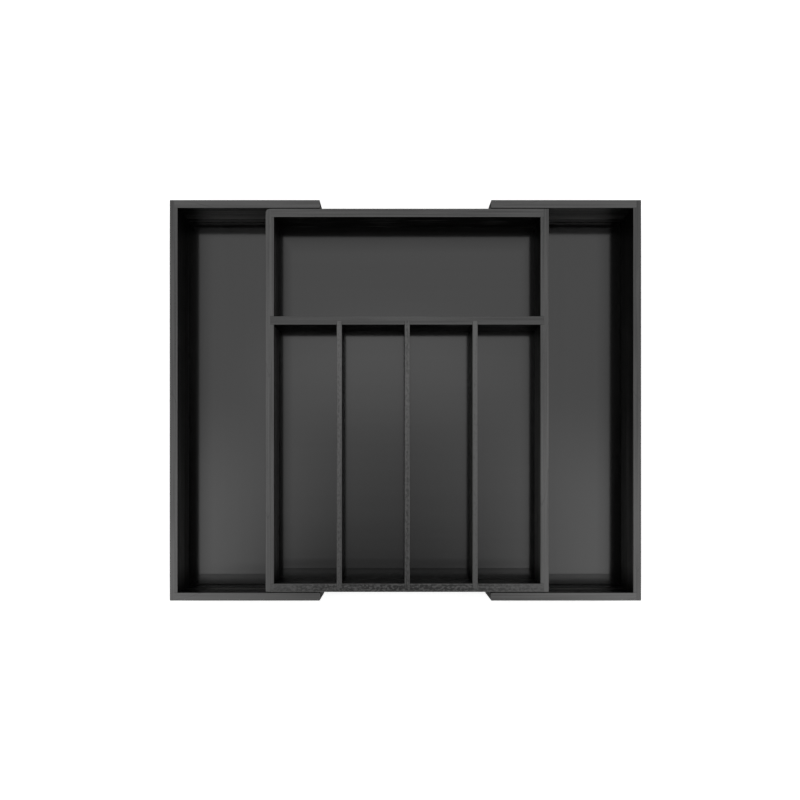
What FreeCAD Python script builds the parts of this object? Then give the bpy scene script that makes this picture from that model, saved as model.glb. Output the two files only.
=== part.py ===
"""Expandable cutlery tray in black stained bamboo, modelled board by board.

The main tray has one bay across the back and four slots in front of it. At each side an extension tray
slides out from under it, guided by a tongue that runs in a groove. Units are millimetres. +Z is up, +Y is the
back, and the origin is on the table under the middle of the tray, with both extensions part way out.
"""

import FreeCAD, Part
import os

import Sketcher

# Driving sizes of the whole tray, its boards, its joints and its slide
SIZES = {
    "tray_depth": 430,  # front to back, over the extensions
    "tray_height": 60,  # table to rim
    "main_width": 304,  # over the main tray's side walls
    "left_pull_out": 94.4,  # open bay between main tray and left side wall, as photographed
    "right_pull_out": 90.6,
    "back_bay_depth": 106.5,
    "main_wall": 9,
    "extension_wall": 8.5,
    "cross_divider": 9,
    "slot_divider": 5.5,
    "main_floor": 4,
    "extension_floor": 4,
    "main_floor_lift": 8,  # main walls reach this far below the floor panel
    "extension_floor_lift": 4,
    "main_rebate": 3.5,  # depth of the corner rebates in the side walls
    "extension_rebate": 3.5,
    "floor_groove": 3.5,  # depth of the grooves that hold the floor panels
    "floor_play": 0.4,  # room for a floor panel to swell in its grooves
    "side_housing": 4,  # cross divider let into the side walls
    "front_housing": 5,  # slot dividers let into the front wall
    "cross_housing": 4,  # slot dividers let into the cross divider
    "housing_play": 0.12,  # gap on each face of a divider in its housing
    "slide_gap": 0.8,  # main tray to extension, front and back
    "rest_gap": 0.3,  # main tray over the extension floors
    "side_gap": 0.9,  # main tray to an extension's side wall when pushed in
    "closed_gap": 0.6,  # between the two extensions when both are pushed in
    "guide_height": 25.8,  # table to the middle of the guide
    "guide_groove_height": 12.4,
    "guide_groove_depth": 3,
    "guide_play": 0.4,  # rail to groove, above and below
    "guide_end_play": 1,  # rail tip to groove bottom
    "rail_seat": 3.5,  # depth of the rail's seat in the main wall
    "rail_lead": 1.5,  # chamfer that leads the rail into the groove
    "batten_width": 8,
    "batten_height": 5.5,
    "batten_end_gap": 3,  # batten end to main front and back walls
    "batten_chamfer": 0.8,
    "edge_ease": 0.8,  # rounding of the rims
    "corner_ease": 1.5,  # rounding of the upright outer corners
}

SLOT_DIVIDERS = ("slot_divider_left", "slot_divider_middle", "slot_divider_right")
SLOTS = len(SLOT_DIVIDERS) + 1

# Sizes that follow from the driving ones
LAYOUT = {
    "extension_inner_depth": "sizes.tray_depth - 2 * sizes.extension_wall",
    "main_depth": "extension_inner_depth - 2 * sizes.slide_gap",
    "main_inner_width": "sizes.main_width - 2 * sizes.main_wall",
    "main_inner_depth": "main_depth - 2 * sizes.main_wall",
    "main_lip": "sizes.main_wall - sizes.main_rebate",
    "main_end_length": "sizes.main_width - 2 * main_lip",
    "extension_lip": "sizes.extension_wall - sizes.extension_rebate",
    "extension_floor_top": "sizes.extension_floor_lift + sizes.extension_floor",
    "main_base": "extension_floor_top + sizes.rest_gap",
    "main_height": "sizes.tray_height - main_base",
    "floor_rise": "sizes.main_floor_lift + sizes.main_floor",
    "divider_height": "main_height - floor_rise",
    "floor_tongue": "sizes.floor_groove - sizes.floor_play",
    "main_middle": "(sizes.left_pull_out - sizes.right_pull_out) / 2",
    "open_width": "sizes.main_width + sizes.left_pull_out + sizes.right_pull_out",
    "reach": "open_width / 2 + sizes.extension_wall",
    "extension_length": "sizes.main_width / 2 + sizes.side_gap + sizes.extension_wall - sizes.closed_gap / 2",
    "end_wall_length": "extension_length - extension_lip",
    "free_end": "reach - extension_length",
    "corner_end": "reach - extension_lip",
    "slot_width": f"(main_inner_width - {SLOTS - 1} * sizes.slot_divider) / {SLOTS}",
    "slot_pitch": "slot_width + sizes.slot_divider",
    "cross_front": "main_inner_depth / 2 - sizes.back_bay_depth - sizes.cross_divider",
    "slot_length": "cross_front + main_inner_depth / 2",
    "groove_low": "sizes.guide_height - sizes.guide_groove_height / 2",
    "groove_high": "sizes.guide_height + sizes.guide_groove_height / 2",
    "rail_height": "sizes.guide_groove_height - 2 * sizes.guide_play",
    "rail_reach": "sizes.slide_gap + sizes.guide_groove_depth - sizes.guide_end_play",
    "rail_width": "rail_reach + sizes.rail_seat",
    "rail_low": "sizes.guide_height - rail_height / 2",
    "batten_length": "main_inner_depth - 2 * sizes.batten_end_gap",
}

HALF_TURN = FreeCAD.Rotation(FreeCAD.Vector(0, 0, 1), 180)
SAME = 1e-6

doc = FreeCAD.newDocument("cutlery_tray")


def fill_sheet(name, cells, start=""):
    """Write one named cell per row and return the sheet."""
    sheet = doc.addObject("Spreadsheet::Sheet", name)
    for row, (alias, content) in enumerate(cells.items(), start=1):
        sheet.set(f"A{row}", alias)
        sheet.set(f"B{row}", f"{start}{content}")
        sheet.setAlias(f"B{row}", alias)
    doc.recompute()
    return sheet


sizes = fill_sheet("sizes", SIZES)
fill_sheet("layout", LAYOUT, start="=")


# Drawing and milling steps shared by the boards


def value(formula):
    """Return the present value of a size formula."""
    return float(sizes.evalExpression(formula))


def add_board(label):
    """Start a sub-part under its own label."""
    board = doc.addObject("PartDesign::Body", label)
    board.Label = label
    return board


def place(board, x="0", y="0", z="0", turned=False):
    """Put a board in the tray, turned half round about Z where it faces the other way."""
    if turned:
        board.Placement = FreeCAD.Placement(FreeCAD.Vector(), HALF_TURN)
    for axis, formula in zip("xyz", (x, y, z)):
        board.setExpression(f"Placement.Base.{axis}", formula)


def origin_part(board, role):
    """Return one of a board's own origin planes or axes."""
    return next(part for part in board.Origin.OriginFeatures if part.Role == role)


def draw_rectangle(board, name, plane, low, high, lift="0"):
    """Sketch a rectangle between two corners given as size formulas."""
    sketch = board.newObject("Sketcher::SketchObject", name)
    sketch.AttachmentSupport = (origin_part(board, plane), [""])
    sketch.MapMode = "FlatFace"
    sketch.setExpression("AttachmentOffset.Base.z", lift)
    left, bottom = (value(formula) for formula in low)
    right, top = (value(formula) for formula in high)
    corners = [(left, bottom), (right, bottom), (right, top), (left, top)]
    points = [FreeCAD.Vector(across, up, 0) for across, up in corners]
    for side in range(4):
        sketch.addGeometry(Part.LineSegment(points[side], points[(side + 1) % 4]), False)
    for side in range(4):
        sketch.addConstraint(Sketcher.Constraint("Coincident", side, 2, (side + 1) % 4, 1))
        sketch.addConstraint(Sketcher.Constraint("Vertical" if side % 2 else "Horizontal", side))
    for corner, side, formulas, spots in (("low", 0, low, corners[0]), ("high", 2, high, corners[2])):
        for direction, formula, spot in zip("XY", formulas, spots):
            rule = sketch.addConstraint(Sketcher.Constraint(f"Distance{direction}", -1, 1, side, 1, spot))
            sketch.renameConstraint(rule, f"{corner}_{direction.lower()}")
            sketch.setExpression(f"Constraints.{corner}_{direction.lower()}", formula)
    return sketch


def saw(board, plane, low, high, length, both_ways=False):
    """Pad a rectangle into a plain board."""
    pad = board.newObject("PartDesign::Pad", f"{board.Name}_blank")
    pad.Profile = draw_rectangle(board, f"{board.Name}_section", plane, low, high)
    if both_ways:
        pad.SideType = "Symmetric"
    pad.setExpression("Length", length)
    doc.recompute()


def mill(board, name, plane, low, high, lift="0", both_ways=False):
    """Cut a rectangle right through a board, both ways or along the plane's normal, and return the cut."""
    before = board.Shape.Volume
    pocket = board.newObject("PartDesign::Pocket", f"{board.Name}_{name}")
    pocket.Profile = draw_rectangle(board, f"{board.Name}_{name}_outline", plane, low, high, lift)
    pocket.Type = "ThroughAll"
    if both_ways:
        pocket.SideType = "Symmetric"
    else:
        pocket.Reversed = True
    doc.recompute()
    if board.Shape.Volume > before - SAME:
        raise RuntimeError(f"{pocket.Name} cuts nothing")
    return pocket


def repeat_along_x(board, cut, length, count):
    """Repeat a cut at even steps along X."""
    pattern = board.newObject("PartDesign::LinearPattern", f"{cut.Name}_row")
    pattern.Originals = [cut]
    pattern.Direction = (origin_part(board, "X_Axis"), [""])
    pattern.setExpression("Length", length)
    pattern.Occurrences = count
    board.Tip = pattern
    doc.recompute()


def mirror_front_to_back(board, cut):
    """Repeat a cut at the other end of a side wall."""
    mirror = board.newObject("PartDesign::Mirrored", f"{cut.Name}_pair")
    mirror.Originals = [cut]
    mirror.MirrorPlane = (origin_part(board, "XZ_Plane"), [""])
    board.Tip = mirror
    doc.recompute()


def edges_on(board, **planes):
    """Name the edges that lie in every given plane, such as x="0" or z="sizes.tray_height"."""
    places = {axis.upper(): value(formula) for axis, formula in planes.items()}
    found = []
    for number, edge in enumerate(board.Tip.Shape.Edges, start=1):
        box = edge.BoundBox
        spans = [(getattr(box, f"{axis}Min"), getattr(box, f"{axis}Max"), at) for axis, at in places.items()]
        if all(abs(low - at) < SAME and abs(high - at) < SAME for low, high, at in spans):
            found.append(f"Edge{number}")
    if not found:
        raise RuntimeError(f"{board.Name} has no edge on {planes}")
    return found


def ease(board, name, edges, radius):
    """Round edges of a board."""
    base = board.Tip
    fillet = board.newObject("PartDesign::Fillet", f"{board.Name}_{name}")
    fillet.Base = (base, edges)
    fillet.setExpression("Radius", radius)
    doc.recompute()


def bevel(board, name, edges, size):
    """Chamfer edges of a board."""
    base = board.Tip
    chamfer = board.newObject("PartDesign::Chamfer", f"{board.Name}_{name}")
    chamfer.Base = (base, edges)
    chamfer.setExpression("Size", size)
    doc.recompute()


# Boards of the main tray


def main_side_wall(label, side, turned):
    """Make a full-depth side wall with corner rebates, a floor groove and the cross divider's housing."""
    wall = add_board(label)
    inner = "sizes.main_wall"
    end = "layout.main_depth / 2"
    top = "layout.main_height"
    saw(wall, "XY_Plane", ("0", f"-{end}"), (inner, end), top)
    corners = edges_on(wall, x="0", y=end) + edges_on(wall, x="0", y=f"-{end}")
    ease(wall, "corners", corners, "sizes.corner_ease")
    ease(wall, "rim", edges_on(wall, z=top), "sizes.edge_ease")
    rebate = mill(wall, "rebate", "XY_Plane", ("layout.main_lip", f"{end} - sizes.main_wall"), (inner, end))
    mirror_front_to_back(wall, rebate)
    groove = f"{inner} - sizes.floor_groove"
    mill(wall, "floor_groove", "XZ_Plane", (groove, "sizes.main_floor_lift"), (inner, "layout.floor_rise"),
         both_ways=True)
    near = "layout.cross_front - sizes.housing_play"
    far = "layout.cross_front + sizes.cross_divider + sizes.housing_play"
    if turned:
        near, far = f"-({far})", f"-({near})"
    housing = f"{inner} - sizes.side_housing"
    mill(wall, "cross_housing", "XY_Plane", (housing, near), (inner, far), lift="layout.floor_rise")
    place(wall, x=f"layout.main_middle + {side} * sizes.main_width / 2", z="layout.main_base", turned=turned)
    return wall


def main_end_wall(label):
    """Make a front or back wall, seen from its outer face, with floor groove and guide rail seat."""
    wall = add_board(label)
    inner = "sizes.main_wall"
    top = "layout.main_height"
    saw(wall, "YZ_Plane", ("0", "0"), (inner, top), "layout.main_end_length", both_ways=True)
    ease(wall, "rim", edges_on(wall, y="0", z=top) + edges_on(wall, y=inner, z=top), "sizes.edge_ease")
    groove = f"{inner} - sizes.floor_groove"
    mill(wall, "floor_groove", "YZ_Plane", (groove, "sizes.main_floor_lift"), (inner, "layout.floor_rise"),
         both_ways=True)
    seat_low = "layout.rail_low - layout.main_base"
    seat_high = f"{seat_low} + layout.rail_height"
    mill(wall, "rail_seat", "YZ_Plane", ("0", seat_low), ("sizes.rail_seat", seat_high), both_ways=True)
    return wall


def slot_housings(board, near, far, lift):
    """Cut the row of housings that take the slot dividers."""
    half = "(sizes.slot_divider / 2 + sizes.housing_play)"
    row = f"{SLOTS - 2} * layout.slot_pitch"
    low, high = f"-{row} / 2 - {half}", f"-{row} / 2 + {half}"
    cut = mill(board, "housing", "XY_Plane", (low, near), (high, far), lift=lift)
    repeat_along_x(board, cut, row, len(SLOT_DIVIDERS))


def main_front_wall():
    """Make the front wall, with the housings of the slot dividers."""
    wall = main_end_wall("main_front_wall")
    slot_housings(wall, "sizes.main_wall - sizes.front_housing", "sizes.main_wall", "layout.floor_rise")
    place(wall, x="layout.main_middle", y="-layout.main_depth / 2", z="layout.main_base")
    return wall


def main_back_wall():
    """Make the back wall, facing the other way."""
    wall = main_end_wall("main_back_wall")
    place(wall, x="layout.main_middle", y="layout.main_depth / 2", z="layout.main_base", turned=True)
    return wall


def main_floor_panel():
    """Make the floor panel that sits in the walls' grooves."""
    panel = add_board("main_floor_panel")
    across = "layout.main_inner_width / 2 + layout.floor_tongue"
    along = "layout.main_inner_depth / 2 + layout.floor_tongue"
    saw(panel, "XY_Plane", (f"-({across})", f"-({along})"), (across, along), "sizes.main_floor")
    place(panel, x="layout.main_middle", z="layout.main_base + sizes.main_floor_lift")
    return panel


def cross_divider():
    """Make the divider between the back bay and the slots, let into both side walls."""
    divider = add_board("cross_divider")
    top = "layout.divider_height"
    back = "sizes.cross_divider"
    length = "layout.main_inner_width + 2 * sizes.side_housing"
    saw(divider, "YZ_Plane", ("0", "0"), (back, top), length, both_ways=True)
    ease(divider, "rim", edges_on(divider, y="0", z=top) + edges_on(divider, y=back, z=top), "sizes.edge_ease")
    slot_housings(divider, "0", "sizes.cross_housing", "0")
    place(divider, x="layout.main_middle", y="layout.cross_front",
          z="layout.main_base + layout.floor_rise")
    return divider


def slot_divider(label, step):
    """Make a thin divider between two slots, let into the front wall and the cross divider."""
    divider = add_board(label)
    half = "sizes.slot_divider / 2"
    top = "layout.divider_height"
    front = "-sizes.front_housing"
    back = "layout.slot_length + sizes.cross_housing"
    saw(divider, "XY_Plane", (f"-{half}", front), (half, back), top)
    rim = edges_on(divider, x=half, z=top) + edges_on(divider, x=f"-{half}", z=top)
    ease(divider, "rim", rim, "sizes.edge_ease")
    place(divider, x=f"layout.main_middle + {step} * layout.slot_pitch", y="-layout.main_inner_depth / 2",
          z="layout.main_base + layout.floor_rise")
    return divider


def guide_rail(label, side, turned):
    """Make a tongue glued into the main wall, with chamfers that lead it into the groove."""
    rail = add_board(label)
    length = "layout.main_end_length"
    saw(rail, "YZ_Plane", ("0", "0"), ("layout.rail_width", "layout.rail_height"), length, both_ways=True)
    tips = edges_on(rail, x=f"{length} / 2", y="0") + edges_on(rail, x=f"-{length} / 2", y="0")
    bevel(rail, "lead", tips, "sizes.rail_lead")
    tip = f"{side} * (layout.main_depth / 2 + layout.rail_reach)"
    place(rail, x="layout.main_middle", y=tip, z="layout.rail_low", turned=turned)
    return rail


def main_tray():
    """Make every board of the main tray."""
    boards = [main_side_wall("main_left_wall", -1, False), main_side_wall("main_right_wall", 1, True)]
    boards += [main_front_wall(), main_back_wall(), main_floor_panel(), cross_divider()]
    for number, label in enumerate(SLOT_DIVIDERS):
        boards.append(slot_divider(label, number - (SLOTS - 2) / 2))
    boards += [guide_rail("front_guide_rail", -1, False), guide_rail("back_guide_rail", 1, True)]
    return boards


# Boards of an extension, first as the left one stands


def extension_side_wall(label, side, turned):
    """Make the full-depth outer wall with corner rebates and a floor groove."""
    wall = add_board(label)
    inner = "sizes.extension_wall"
    end = "sizes.tray_depth / 2"
    top = "sizes.tray_height"
    saw(wall, "XY_Plane", ("0", f"-{end}"), (inner, end), top)
    corners = edges_on(wall, x="0", y=end) + edges_on(wall, x="0", y=f"-{end}")
    ease(wall, "corners", corners, "sizes.corner_ease")
    ease(wall, "rim", edges_on(wall, z=top), "sizes.edge_ease")
    rebate = mill(wall, "rebate", "XY_Plane", ("layout.extension_lip", f"{end} - {inner}"), (inner, end))
    mirror_front_to_back(wall, rebate)
    mill(wall, "floor_groove", "XZ_Plane", (f"{inner} - sizes.floor_groove", "sizes.extension_floor_lift"),
         (inner, "layout.extension_floor_top"), both_ways=True)
    place(wall, x=f"{side} * layout.reach", turned=turned)
    return wall


def extension_end_wall(label, side, end_side):
    """Make a front or back wall, grooved for the guide rail and the floor, eased at its free end."""
    wall = add_board(label)
    turned = end_side > 0
    free_first = (side > 0) != turned
    inner = "sizes.extension_wall"
    top = "sizes.tray_height"
    length = "layout.end_wall_length"
    free = "0" if free_first else length
    saw(wall, "YZ_Plane", ("0", "0"), (inner, top), length)
    ease(wall, "end", edges_on(wall, x=free, y="0") + edges_on(wall, x=free, y=inner), "sizes.edge_ease")
    joint = edges_on(wall, x=length if free_first else "0")
    ease(wall, "rim", [edge for edge in edges_on(wall, z=top) if edge not in joint], "sizes.edge_ease")
    mill(wall, "guide_groove", "YZ_Plane", (f"{inner} - sizes.guide_groove_depth", "layout.groove_low"),
         (inner, "layout.groove_high"))
    mill(wall, "floor_groove", "YZ_Plane", (f"{inner} - sizes.floor_groove", "sizes.extension_floor_lift"),
         (inner, "layout.extension_floor_top"))
    near = "layout.free_end" if free_first else "layout.corner_end"
    place(wall, x=f"{side} * {near}", y=f"{end_side} * sizes.tray_depth / 2", turned=turned)
    return wall


def extension_floor_panel(label, side, turned):
    """Make the floor panel, in grooves on three sides and flush with the free ends of the walls."""
    panel = add_board(label)
    length = "layout.extension_length - sizes.extension_wall + layout.floor_tongue"
    along = "layout.extension_inner_depth / 2 + layout.floor_tongue"
    saw(panel, "XY_Plane", ("0", f"-({along})"), (length, along), "sizes.extension_floor")
    place(panel, x=f"{side} * (layout.free_end + {length})", z="sizes.extension_floor_lift", turned=turned)
    return panel


def stop_batten(label, side, turned):
    """Make the strip on the floor's free edge that stops against the main side wall."""
    batten = add_board(label)
    wide = "sizes.batten_width"
    top = "sizes.batten_height"
    end = "layout.batten_length / 2"
    saw(batten, "XY_Plane", ("0", f"-{end}"), (wide, end), top)
    arrises = edges_on(batten, x="0", z=top) + edges_on(batten, x=wide, z=top)
    bevel(batten, "edges", arrises, "sizes.batten_chamfer")
    place(batten, x=f"{side} * (layout.free_end + {wide})", z="layout.extension_floor_top", turned=turned)
    return batten


def extension(name, side):
    """Make every board of the extension on one side, -1 for left and 1 for right."""
    turned = side > 0
    return [
        extension_side_wall(f"{name}_side_wall", side, turned),
        extension_end_wall(f"{name}_front_wall", side, -1),
        extension_end_wall(f"{name}_back_wall", side, 1),
        extension_floor_panel(f"{name}_floor_panel", side, turned),
        stop_batten(f"{name}_stop_batten", side, turned),
    ]


# Build, check and write every board

boards = main_tray() + extension("left", -1) + extension("right", 1)
doc.recompute()

for item in doc.Objects:
    if "Invalid" in item.State or "Error" in item.State:
        raise RuntimeError(f"{item.Name} failed: {item.State}")
for board in boards:
    if board.Shape.isNull() or not board.Shape.isValid() or len(board.Shape.Solids) != 1:
        raise RuntimeError(f"{board.Label} is not one sound solid")

os.makedirs("parts", exist_ok=True)
for board in boards:
    board.Shape.exportStep(os.path.join("parts", f"{board.Label}.step"))
    print(f"{board.Label}: {board.Shape.Volume:.0f} mm3")
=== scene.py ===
import logging
import math
from collections.abc import Callable
from dataclasses import dataclass, field
from enum import Enum

import bmesh
import bpy
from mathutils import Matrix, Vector, noise


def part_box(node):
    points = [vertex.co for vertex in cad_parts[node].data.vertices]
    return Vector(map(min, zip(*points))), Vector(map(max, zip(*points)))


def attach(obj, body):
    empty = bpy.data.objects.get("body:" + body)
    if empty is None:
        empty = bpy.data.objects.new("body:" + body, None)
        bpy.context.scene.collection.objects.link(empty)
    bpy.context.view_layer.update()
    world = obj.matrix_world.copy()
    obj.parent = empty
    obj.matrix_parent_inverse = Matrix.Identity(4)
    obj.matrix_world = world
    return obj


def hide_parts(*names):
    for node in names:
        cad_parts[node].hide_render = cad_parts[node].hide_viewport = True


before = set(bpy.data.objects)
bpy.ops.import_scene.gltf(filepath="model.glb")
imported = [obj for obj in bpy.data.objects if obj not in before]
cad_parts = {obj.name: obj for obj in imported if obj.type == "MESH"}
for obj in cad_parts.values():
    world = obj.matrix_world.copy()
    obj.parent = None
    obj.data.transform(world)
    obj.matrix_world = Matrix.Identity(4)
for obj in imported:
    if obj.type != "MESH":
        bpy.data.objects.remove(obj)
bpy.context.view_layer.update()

LOG = logging.getLogger("cutlery_tray")

MM = 0.001
SAME = 1e-5
OVERRUN = 2 * MM

Pair = tuple[float, float]
Triple = tuple[float, float, float]
Colour = tuple[float, float, float, float]
Socket = bpy.types.NodeSocket
Source = Socket | float | Triple | Colour
Piece = bpy.types.Object


class Axis(Enum):
    """Direction of a board's grain or of a cut, as an index into a corner."""

    X = 0
    Y = 1
    Z = 2


class Side(Enum):
    """Side of the tray, as the word in its pieces' names."""

    LEFT = "left"
    RIGHT = "right"


class End(Enum):
    """End of a tray, as the word in its walls' names."""

    FRONT = "front"
    BACK = "back"


class Domain(Enum):
    """Parts of a board's mesh that can be marked, as Blender names them."""

    CORNER = "POINT"
    FACE = "FACE"


class Body(Enum):
    """Rigid bodies of the tray that a piece can ride on."""

    MAIN = "main_tray"
    LEFT = "left_extension"
    RIGHT = "right_extension"


@dataclass(frozen=True)
class Cloud:
    """Noise stretched along three axes, in cycles per metre, with octaves of finer noise."""

    scale: Triple
    detail: float = 2.0


class Graph:
    """Adds nodes to one node tree and joins their sockets."""

    # A Mix node has sockets for each kind of data: these are its factor and its colours.
    mix_inputs = (0, 6, 7)
    mix_output = 2

    def __init__(self, tree: bpy.types.NodeTree) -> None:
        """Take over the node tree of a material, world, lamp or group and empty it."""
        self.tree = tree
        self.tree.nodes.clear()

    def feed(self, socket: Socket, source: Source) -> None:
        """Join a source socket to an input, or set the input's own value.

        Args:
            socket: Input to fill.
            source: Source socket or plain value.
        """
        if isinstance(source, Socket):
            self.tree.links.new(source, socket)
        else:
            socket.default_value = source

    def add(self, kind: str, settings: dict[str, object] | None = None, **inputs: Source) -> bpy.types.Node:
        """Add a node and fill its inputs.

        Args:
            kind: Blender's name of the node type.
            settings: Node properties to set, by name.
            inputs: Input values or source sockets, by socket name with _ for a space.

        Returns:
            The new node.
        """
        node = self.tree.nodes.new(kind)
        for name, value in (settings or {}).items():
            setattr(node, name, value)
        for name, source in inputs.items():
            self.feed(node.inputs[name.replace("_", " ")], source)
        return node

    def join(self, kind: str, settings: dict[str, object], *sources: Source) -> Socket:
        """Add a node and fill its inputs in their order.

        Args:
            kind: Blender's name of the node type.
            settings: Node properties to set, by name.
            sources: Input values or source sockets.

        Returns:
            The node's first output.
        """
        node = self.add(kind, settings)
        for socket, source in zip(node.inputs, sources):
            self.feed(socket, source)
        return node.outputs[0]

    def calculate(self, kind: str, first: Source, second: Source = 0.5, clamp: bool = False) -> Socket:
        """Return the result of a Math node, kept between 0 and 1 if it is clamped."""
        return self.join("ShaderNodeMath", {"operation": kind, "use_clamp": clamp}, first, second)

    def plus(self, first: Source, second: Source) -> Socket:
        """Return the sum of two values."""
        return self.calculate("ADD", first, second)

    def minus(self, first: Source, second: Source) -> Socket:
        """Return the first value less the second."""
        return self.calculate("SUBTRACT", first, second)

    def times(self, first: Source, second: Source) -> Socket:
        """Return the product of two values."""
        return self.calculate("MULTIPLY", first, second)

    def larger(self, first: Source, second: Source) -> Socket:
        """Return the larger of two values."""
        return self.calculate("MAXIMUM", first, second)

    def distance(self, first: Source, second: Source) -> Socket:
        """Return how far two values are apart."""
        return self.calculate("ABSOLUTE", self.minus(first, second))

    def spread(self, value: Socket, source: Pair, target: Pair = (0.0, 1.0), smooth: bool = False) -> Socket:
        """Map a value from one range to another, held at its ends.

        Args:
            value: Socket to map.
            source: Values that become the ends of the target.
            target: Results at those values.
            smooth: Whether the result eases in and out.

        Returns:
            The result's socket.
        """
        settings = {"clamp": True, "interpolation_type": "SMOOTHSTEP" if smooth else "LINEAR"}
        node = self.add("ShaderNodeMapRange", settings, Value=value, From_Min=source[0], From_Max=source[1])
        self.feed(node.inputs["To Min"], target[0])
        self.feed(node.inputs["To Max"], target[1])
        return node.outputs["Result"]

    def blend(self, factor: Source, first: Source, second: Source) -> Socket:
        """Mix two colours.

        Args:
            factor: Share of the second colour.
            first: First colour or socket.
            second: Second colour or socket.

        Returns:
            The mixed colour's socket.
        """
        node = self.add("ShaderNodeMix", {"data_type": "RGBA"})
        for number, source in zip(self.mix_inputs, (factor, first, second)):
            self.feed(node.inputs[number], source)
        return node.outputs[self.mix_output]

    def cloud(self, place: Socket, cloud: Cloud) -> Socket:
        """Return stretched noise at a place."""
        stretched = self.join("ShaderNodeVectorMath", {"operation": "MULTIPLY"}, place, cloud.scale)
        return self.add("ShaderNodeTexNoise", Vector=stretched, Scale=1.0, Detail=cloud.detail).outputs["Fac"]

    def part(self, place: Socket, axis: Axis) -> Socket:
        """Return one coordinate of a place."""
        return self.add("ShaderNodeSeparateXYZ", Vector=place).outputs[axis.name]

    def mark(self, name: str) -> Socket:
        """Return what a board's mesh stores under a name."""
        return self.add("ShaderNodeAttribute", {"attribute_name": name}).outputs["Fac"]

    def place(self) -> Socket:
        """Return the place on the object."""
        return self.add("ShaderNodeTexCoord").outputs["Object"]

    def along(self, axis: Axis) -> Socket:
        """Return one coordinate of the place on the object."""
        return self.part(self.place(), axis)

    def inset(self, axis: Axis, ends: Pair) -> Socket:
        """Return how far the place on the object lies inside two ends along an axis."""
        low, high = ends
        return self.minus((high - low) / 2, self.distance(self.along(axis), (low + high) / 2))

    def pattern(self, grain: Axis, shift: Triple, seed: float) -> Socket:
        """Return the place on the object, turned so that the grain runs along X, and shifted.

        Args:
            grain: Axis of the grain on the object.
            shift: How far the pattern is shifted for each unit of the seed.
            seed: Number that sets the object's pattern apart from the others.

        Returns:
            The socket of the place in the pattern.
        """
        mapped = self.add("ShaderNodeMapping", {"vector_type": "POINT"}, Vector=self.place())
        mapped.inputs["Rotation"].default_value = (0.0, 0.0, 0.0 if grain is Axis.X else math.pi / 2)
        mapped.inputs["Location"].default_value = [seed * step for step in shift]
        return mapped.outputs["Vector"]

    def shade(self, **inputs: Source) -> None:
        """End a material with a Principled shader that has these inputs."""
        shader = self.add("ShaderNodeBsdfPrincipled", **inputs)
        self.add("ShaderNodeOutputMaterial", Surface=shader.outputs["BSDF"])


def start_material(name: str) -> tuple[bpy.types.Material, Graph]:
    """Start a material with an empty node tree.

    Args:
        name: Name of the material.

    Returns:
        The material and the graph of its nodes.
    """
    material = bpy.data.materials.new(name)
    material.use_nodes = True
    return material, Graph(material.node_tree)


def start_group(name: str, inputs: dict[str, str], outputs: tuple[str, ...]) -> bpy.types.ShaderNodeTree:
    """Start a shader node group that puts out plain numbers.

    Args:
        name: Name of the group.
        inputs: Socket types by input name.
        outputs: Names of the outputs.

    Returns:
        The empty group.
    """
    group = bpy.data.node_groups.new(name, "ShaderNodeTree")
    for socket, kind in inputs.items():
        group.interface.new_socket(name=socket, in_out="INPUT", socket_type=kind)
    for socket in outputs:
        group.interface.new_socket(name=socket, in_out="OUTPUT", socket_type="NodeSocketFloat")
    return group


@dataclass(frozen=True)
class BambooFibre:
    """Grain of laminated bamboo, with its fibres along X."""

    fibre: Cloud = Cloud((4.0, 620.0, 620.0), 4.0)
    fibre_share: float = 0.36
    strip: Cloud = Cloud((1.4, 46.0, 52.0), 1.0)
    strip_share: float = 0.22
    ply: Cloud = Cloud((2.4, 170.0, 170.0))
    ply_share: float = 0.42
    tone_range: Pair = (0.34, 0.66)
    tone_height: float = 0.7
    pores: Cloud = Cloud((34.0, 1900.0, 1900.0), 1.0)
    pore_range: Pair = (0.56, 0.72)
    pore_tone: float = 0.35
    pore_depth: float = 0.6
    knuckles_per_metre: float = 5.2
    knuckle_width: Pair = (0.004, 0.016)
    knuckle_stagger: float = 2.6
    drift: Cloud = Cloud((9.0, 60.0, 60.0))
    drift_share: float = 0.45

    def make(self) -> bpy.types.ShaderNodeTree:
        """Build the node group.

        Returns:
            A group that turns a place into the tone of the fibres, the knuckle rings and a height.
        """
        group = start_group("bamboo_fibre", {"Vector": "NodeSocketVector"}, ("Tone", "Knuckle", "Height"))
        graph = Graph(group)
        place = graph.add("NodeGroupInput").outputs["Vector"]
        strip = graph.cloud(place, self.strip)
        pores = graph.spread(graph.cloud(place, self.pores), self.pore_range)
        tone = graph.times(graph.cloud(place, self.fibre), self.fibre_share)
        tone = graph.plus(tone, graph.times(strip, self.strip_share))
        tone = graph.plus(tone, graph.times(graph.cloud(place, self.ply), self.ply_share))
        tone = graph.spread(tone, self.tone_range)
        tone = graph.calculate("SUBTRACT", tone, graph.times(pores, self.pore_tone), clamp=True)
        along = graph.times(graph.part(place, Axis.X), self.knuckles_per_metre)
        along = graph.plus(along, graph.times(graph.cloud(place, self.drift), self.drift_share))
        along = graph.plus(along, graph.times(strip, self.knuckle_stagger))
        ring = graph.distance(graph.calculate("FRACT", along), 0.5)
        knuckle = graph.spread(ring, self.knuckle_width, (1.0, 0.0))
        height = graph.minus(graph.times(tone, self.tone_height), graph.times(pores, self.pore_depth))
        graph.add("NodeGroupOutput", Tone=tone, Knuckle=knuckle, Height=height)
        return group


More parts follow.
